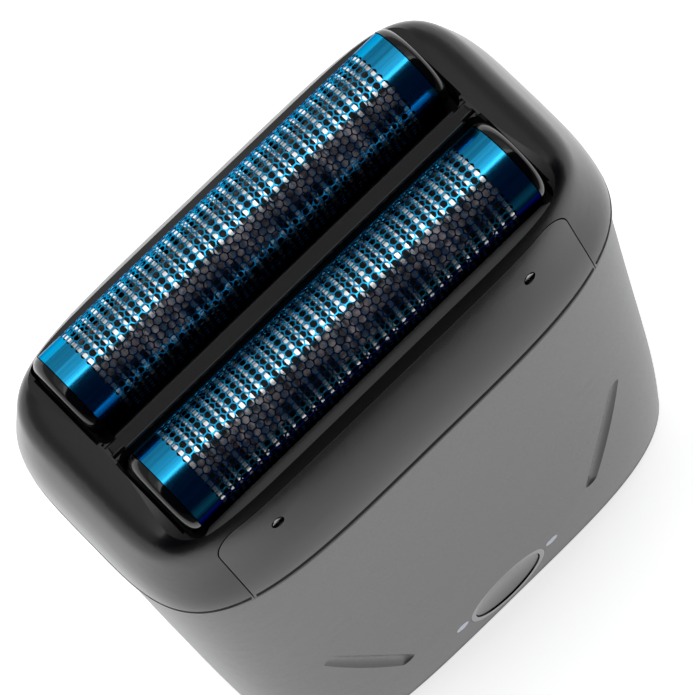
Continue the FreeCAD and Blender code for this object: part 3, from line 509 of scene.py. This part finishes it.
def make_foil(node, body, material):
    """Foil with real hexagonal holes in place of its plain CAD stand-in."""
    name = f"{node}_perforated"
    mesh = foil_mesh(name, FoilForm(node))
    mesh.materials.append(material)
    foil = placed(name, mesh)
    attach(foil, body)
    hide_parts(node)


# ------------------------------------------------------------------ seam and springs
SEAM_SHADOW_LOW = 0.53 * MM             # of the painted seam shadow, a dark line above the head's lower edge
SEAM_SHADOW_HIGH = 1.15 * MM
SEAM_SHADOW_RISE = 0.012 * MM           # how far it stands off the head's skin
SEAM_SHADOW_STEPS = 720
SEAM_RAY_START = 100 * MM             # from the shaver's axis, outside the head


def make_seam_shadow_line(material):
    """Thin dark line round the lower edge of the head, laid on its skin: a painted shadow of the
    seam.
    """
    skins = []
    for node in ("head_hood", "front_head_panel", "rear_head_panel"):
        mesh = NODES[node].data
        places = [NODES[node].matrix_world @ vertex.co for vertex in mesh.vertices]
        skins.append(BVHTree.FromPolygons(places, [tuple(p.vertices) for p in mesh.polygons]))
    points = []
    for step in range(SEAM_SHADOW_STEPS):
        turn = 2.0 * math.pi * step / SEAM_SHADOW_STEPS
        outward = Vector((HEAD_HIGH.x * math.cos(turn), HEAD_HIGH.y * math.sin(turn), 0.0))
        outward.normalize()
        for rise in (SEAM_SHADOW_LOW, SEAM_SHADOW_HIGH):
            start = outward * SEAM_RAY_START
            start.z = HEAD_LOW.z + rise
            hits = [skin.ray_cast(start, -outward)[0] for skin in skins]
            skin_point = max((hit for hit in hits if hit), key=lambda hit: hit.xy.length)
            points.append(skin_point + outward * SEAM_SHADOW_RISE)
    count = len(points)
    faces = [(k, (k + 2) % count, (k + 3) % count, k + 1) for k in range(0, count, 2)]
    # The strip is a painted shadow of the seam, in the dark seal rubber.
    mesh = bpy.data.meshes.new("seam_shadow_line")
    mesh.from_pydata(points, [], faces)
    smooth(mesh)
    mesh.materials.append(material)
    line = placed("seam_shadow_line", mesh)
    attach(line, "head")


def make_springs():
    """Own copy of each deforming spring, on its joint's parent body, in place of its CAD node."""
    for joint in frame["record"]["behaviour"]["joints"]:
        for entry in joint.get("deforming_nodes", []):
            node = entry["node"]
            coils = placed(f"{node}_coils", NODES[node].data.copy())
            coils.matrix_world = NODES[node].matrix_world
            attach(coils, joint["parent"])
            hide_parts(node)
            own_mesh(coils)


# ------------------------------------------------------------------ studio
FLOOR_HALF = 2.4
GLOW_START_Y = -150 * MM              # in front of the shaver, where the table's glow sets in
GLOW_FULL_Y = -110 * MM
NEAR_GLOW = 0.80                      # light given by the table itself, under and behind the shaver
FRONT_GLOW = 0.03                     # and in front of it
# The table's own colour, pale round the shaver and dark in front: a painted pool of light.
NEAR_PAINTED_LIGHT_TONE = 0.80
FRONT_PAINTED_SHADE_TONE = 0.12
BOX_HEIGHT = 0.9                      # of the softbox above the rim
BOX_WIDTH = 5.0
WALL_HEIGHT = 1.0
WALL_RADIANCE = 0.45
ROOM_COLOUR = (0.006, 0.010, 0.024, 1.0)
STRIPS = (                            # start and end angle back from the vertical, radiance
    (0.5, 9.0, 3.0),
    (9.0, 22.0, 1.25),
    (22.0, 46.0, 0.88),
    (46.0, 67.0, 0.5),
)


def make_floor():
    """White table that glows round the shaver and falls away in front into a dark room; its colour,
    pale round the shaver and dark in front, is a painted pool of light.
    """
    shader = Shader("floor_white")
    near = shader.ramp(shader.axis("Y"), GLOW_START_Y, GLOW_FULL_Y)
    # Painted pool of light in the table's own colour.
    shader.feed("Base Color", shader.blend(near, (FRONT_PAINTED_SHADE_TONE,) * 3, (NEAR_PAINTED_LIGHT_TONE,) * 3))
    shader.feed("Emission Color", shader.blend(near, (FRONT_GLOW,) * 3, (NEAR_GLOW,) * 3))
    shader.set(Roughness=0.9, Emission_Strength=1.0)
    corners = [(x * FLOOR_HALF, y * FLOOR_HALF, 0) for x, y in ((-1, -1), (1, -1), (1, 1), (-1, 1))]
    mesh = bpy.data.meshes.new("floor")
    mesh.from_pydata(corners, [], [(0, 1, 2, 3)])
    mesh.materials.append(shader.material)
    floor = placed("floor", mesh)


def area_light(name, centre, target, width, height, radiance):
    """Soft rectangular light of a given brightness that faces a target."""
    data = bpy.data.lights.new(name, "AREA")
    data.shape = "RECTANGLE"
    data.size = width
    data.size_y = height
    data.energy = radiance * math.pi * width * height
    light = placed(name, data)
    light.location = centre
    direction = Vector(target) - Vector(centre)
    light.rotation_euler = direction.to_track_quat("-Z", "Y").to_euler()


def box_y(angle):
    """How far back the softbox's plane is at an angle from the vertical."""
    return BOX_HEIGHT * math.tan(math.radians(angle))


def make_lights():
    """Softbox above and behind, brightest at its front edge, and pale walls on three sides."""
    ceiling = LIP_Z + BOX_HEIGHT
    for number, (start, end, radiance) in enumerate(STRIPS):
        near, far = box_y(start), box_y(end)
        middle = 0.5 * (near + far)
        area_light(f"softbox_{number}", (0.0, middle, ceiling), (0.0, middle, 0.0),
                   BOX_WIDTH, far - near, radiance)
    rear = box_y(STRIPS[-1][1])
    wall_middle = 0.5 * WALL_HEIGHT
    area_light("rear_wall", (0.0, rear, wall_middle), (0.0, 0.0, wall_middle), BOX_WIDTH,
               WALL_HEIGHT, WALL_RADIANCE)
    for side in (-1, 1):
        edge = side * 0.5 * BOX_WIDTH
        area_light(f"side_wall_{side}", (edge, 0.5 * rear, wall_middle),
                   (0.0, 0.5 * rear, wall_middle), rear, WALL_HEIGHT, WALL_RADIANCE)


def make_room():
    """Dim bluish surroundings and a plain view transform."""
    world = bpy.data.worlds.new("room")
    world.use_nodes = True
    background = world.node_tree.nodes["Background"]
    background.inputs["Color"].default_value = ROOM_COLOUR
    background.inputs["Strength"].default_value = 1.0
    bpy.context.scene.world = world
    bpy.context.scene.view_settings.view_transform = "Standard"


# ------------------------------------------------------------------ make everything
make_camera()
make_floor()
make_lights()
make_room()
MATERIALS = make_materials()
paint_nodes(MATERIALS)
make_foil("front_foil", "front_foil_unit", MATERIALS["blue_foil"])
make_foil("rear_foil", "rear_foil_unit", MATERIALS["blue_foil"])
make_seam_shadow_line(MATERIALS["seal_rubber"])
make_springs()
